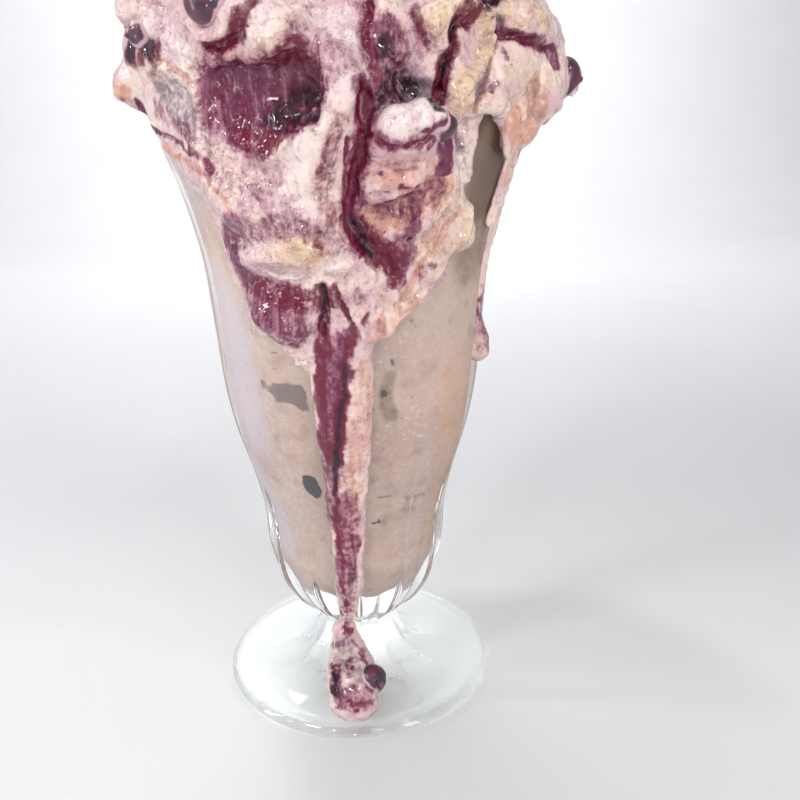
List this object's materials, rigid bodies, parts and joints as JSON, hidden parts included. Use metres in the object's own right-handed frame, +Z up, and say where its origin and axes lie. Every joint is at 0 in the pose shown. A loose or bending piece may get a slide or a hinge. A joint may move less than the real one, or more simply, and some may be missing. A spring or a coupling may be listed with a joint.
{
  "type": "milkshake",
  "caption": "Berry milkshake in a footed, fluted soda glass, heaped over the rim, with one long drip down the front to the foot.",
  "frame": {"origin": "middle of the foot's flat underside", "axes": "+Z up along the glass's axis; the long drip faces -Y; +X to the right of it, seen from the front"},
  "size_m": [0.1148, 0.1143, 0.2253],
  "materials": {
    "glass": "clear, pressed, polished",
    "shake": "thick cream behind the glass",
    "overflow": "wet cream with berry streaks",
    "berry": "wet dark skin"
  },
  "bodies": {
    "root": {"glass": "glass", "shake": "shake", "overflow": "overflow", "berry_01": "berry", "berry_02": "berry", "berry_03": "berry", "berry_04": "berry", "berry_05": "berry", "berry_06": "berry", "berry_07": "berry", "berry_08": "berry", "berry_09": "berry", "berry_10": "berry", "berry_11": "berry", "berry_12": "berry"}
  },
  "joints": []
}
